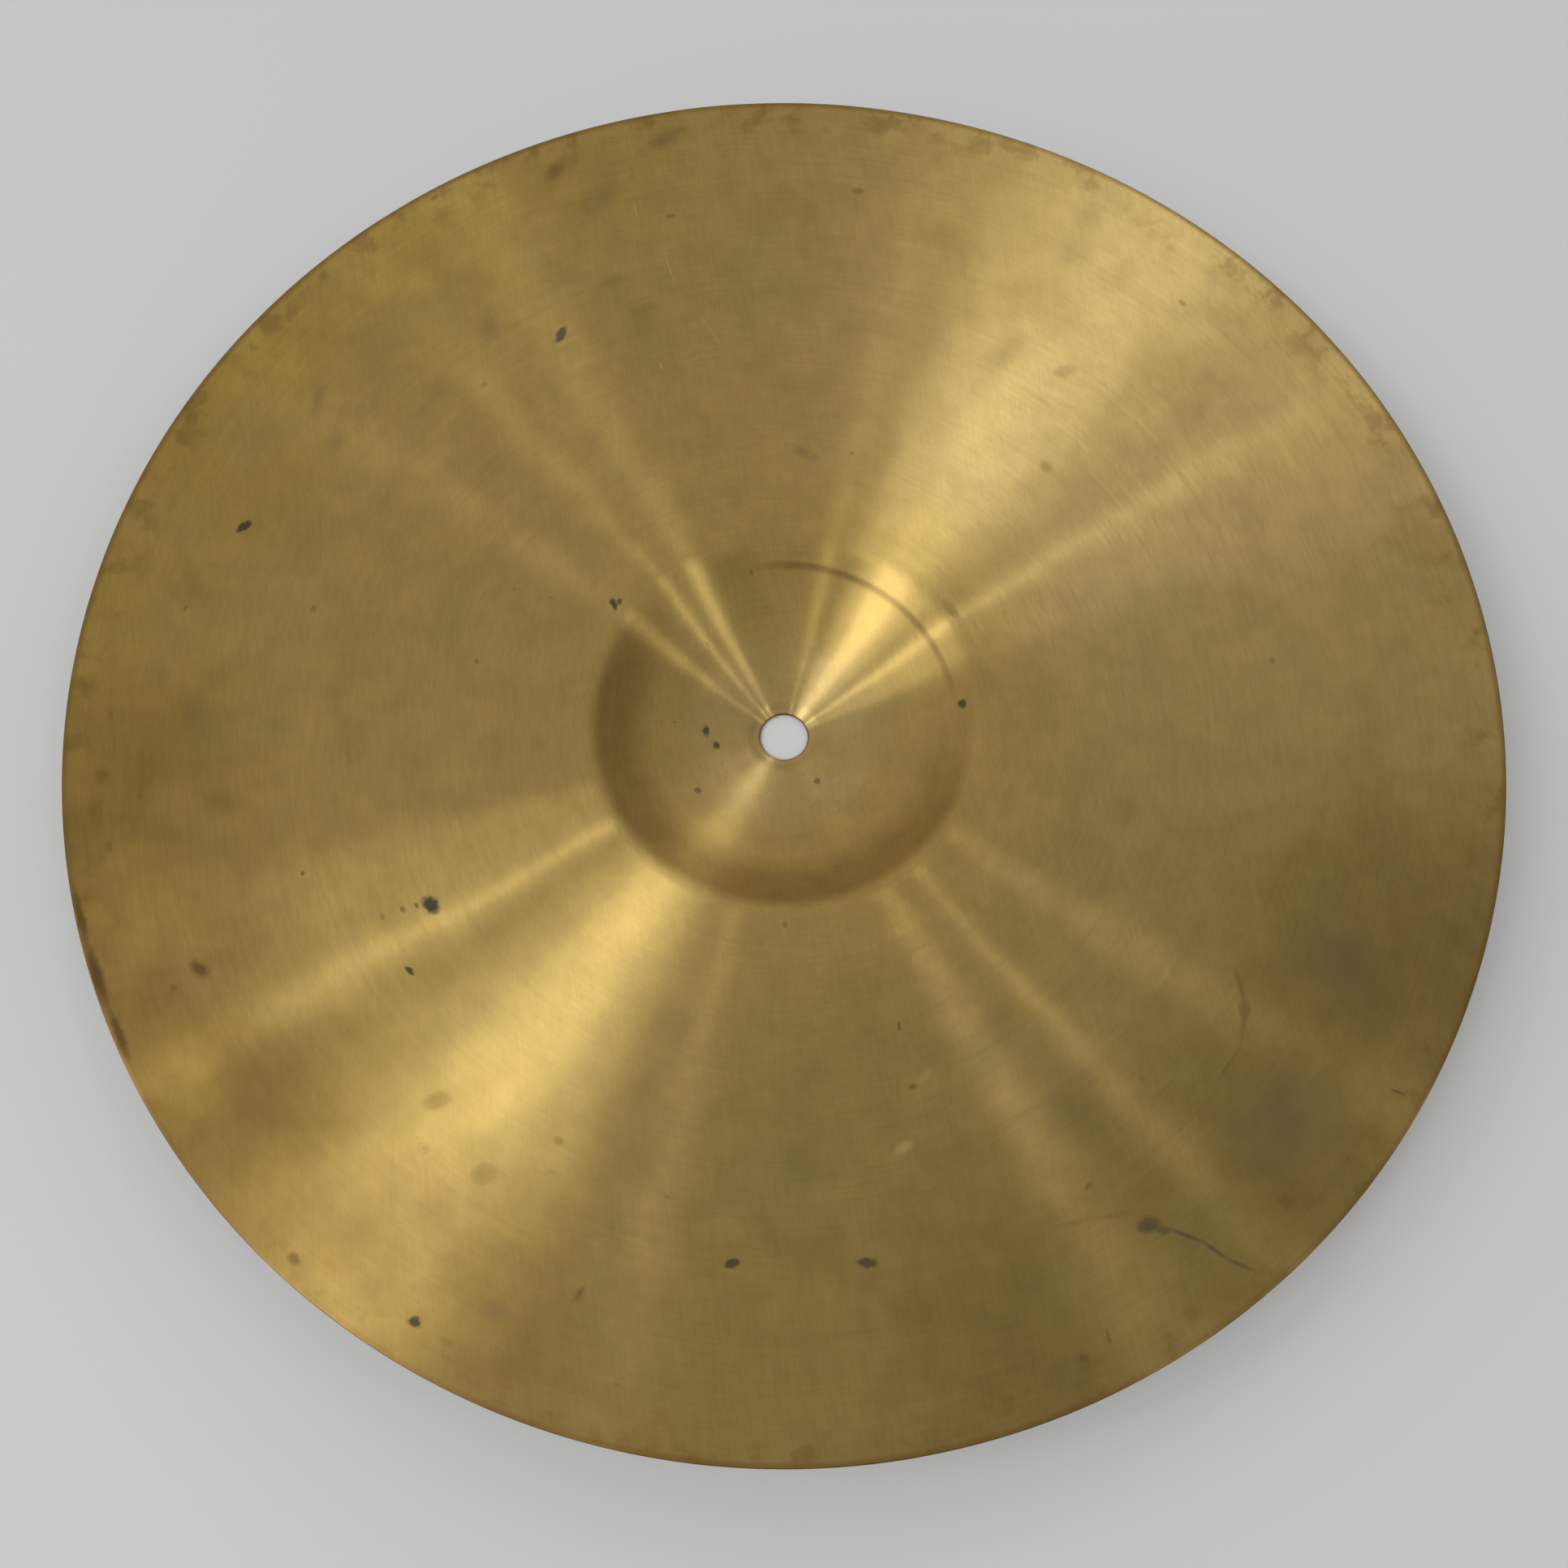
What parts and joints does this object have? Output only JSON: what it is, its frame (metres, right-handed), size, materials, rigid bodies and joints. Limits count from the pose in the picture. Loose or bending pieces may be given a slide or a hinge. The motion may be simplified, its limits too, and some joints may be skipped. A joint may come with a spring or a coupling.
{
  "type": "crash cymbal",
  "caption": "Thin brass cymbal disc with a shallow bow, a domed bell and a punched hole for a stand, lying hollow side up.",
  "frame": {"origin": "centre of the hole, in the plane of the flat ring round it on the bell's outer face, which is the lowest face as the cymbal lies", "axes": "+Z along the cymbal's axis, out of its hollow side; X and Y lie in the plane of the rim. On a stand the cymbal is turned over, half a turn about X, so that the bell is on top"},
  "size_m": [0.3556, 0.3556, 0.033],
  "materials": {
    "lathed_brass": "lathed in fine rings, aged and unpolished, with handling stains and darker tarnish towards the rim"
  },
  "bodies": {
    "root": {"cymbal": "lathed_brass"}
  },
  "joints": []
}
